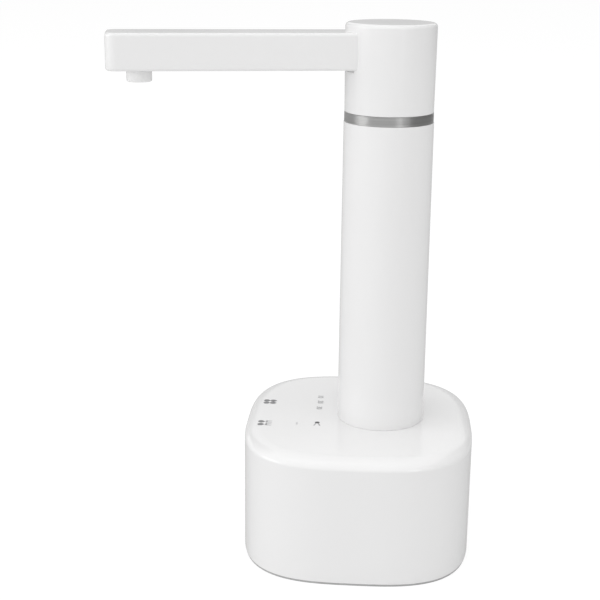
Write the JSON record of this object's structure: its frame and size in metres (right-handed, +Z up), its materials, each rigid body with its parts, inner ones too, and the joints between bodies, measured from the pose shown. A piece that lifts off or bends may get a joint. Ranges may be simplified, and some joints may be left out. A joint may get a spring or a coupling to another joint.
{
  "type": "bottled water pump",
  "caption": "Table-top pump for bottled water: rounded base with touch keys and gear pump, column, and a swivelling flat spout.",
  "frame": {"origin": "centre of the base's underside, on the table", "axes": "+Z up, -X towards the spout and the user, +Y to the user's left hand side when facing the keys"},
  "size_m": [0.1634, 0.1128, 0.2389],
  "materials": {
    "gloss_white": "moulded gloss ABS",
    "inner_white": "moulded matt ABS",
    "pad_rubber": "soft silicone sheet",
    "black_rubber": "moulded rubber",
    "silicone": "translucent silicone tube",
    "dark_steel": "dark polished metal",
    "steel": "plain steel",
    "pump_nylon": "dark moulded nylon",
    "gear_resin": "natural acetal",
    "clear_guide": "clear acrylic",
    "cell_wrap": "heat-shrink sleeve",
    "board_green": "coated glass laminate",
    "foam": "conductive foam"
  },
  "bodies": {
    "base": {"base_pad": "pad_rubber", "base_shell": "gloss_white", "battery_cell": "cell_wrap", "battery_cradle": "inner_white", "battery_strap": "inner_white", "board_screw_1": "steel", "board_screw_2": "steel", "bottom_cover": "inner_white", "column_gasket": "black_rubber", "column_nut": "inner_white", "column_tube": "gloss_white", "control_board": "board_green", "cover_screw_1": "steel", "cover_screw_2": "steel", "cover_screw_3": "steel", "cover_screw_4": "steel", "idler_pin": "steel", "inlet_fitting": "inner_white", "inlet_seal": "black_rubber", "inlet_tube": "silicone", "light_guide": "clear_guide", "motor_can": "steel", "motor_cap": "pump_nylon", "motor_saddle": "inner_white", "motor_strap": "inner_white", "pin_seal_1": "black_rubber", "pin_seal_2": "black_rubber", "pump_body": "pump_nylon", "pump_cover": "pump_nylon", "pump_gasket": "black_rubber", "pump_screw_1": "steel", "pump_screw_2": "steel", "pump_screw_3": "steel", "pump_screw_4": "steel", "retaining_clip": "steel", "riser_tube": "silicone", "shaft_seal": "black_rubber", "strap_screw_1": "steel", "strap_screw_2": "steel", "swivel_neck": "inner_white", "thrust_washer": "gear_resin", "touch_pad_left": "foam", "touch_pad_right": "foam", "trim_ring": "dark_steel", "usb_board": "board_green", "usb_socket": "steel", "water_pin": "pump_nylon"},
    "head": {"flow_straightener": "inner_white", "head_shell": "gloss_white", "nozzle": "gloss_white", "spout_cover": "gloss_white", "spout_screw_1": "steel", "spout_screw_2": "steel", "spout_tube": "silicone", "swivel_collar": "gear_resin", "swivel_elbow": "pump_nylon"},
    "drive": {"drive_gear": "gear_resin", "drive_shaft": "steel"},
    "idler": {"idler_gear": "gear_resin"}
  },
  "joints": [
    {"name": "head_swivel", "type": "hinge", "parent": "base", "child": "head", "pos_m": [0.00985, 0, 0.2], "axis": [0, 0, 1], "range_deg": [-100.6, 79.4]},
    {"name": "drive_spin", "type": "hinge", "parent": "base", "child": "drive", "pos_m": [0.01585, 0, 0.033], "axis": [0, 1, 0], "continuous": true},
    {"name": "idler_spin", "type": "hinge", "parent": "base", "child": "idler", "pos_m": [0.00385, 0, 0.033], "axis": [0, 1, 0], "continuous": true}
  ],
  "couplings": [
    {"joint": "idler_spin", "follows": "drive_spin", "ratio": -1}
  ]
}
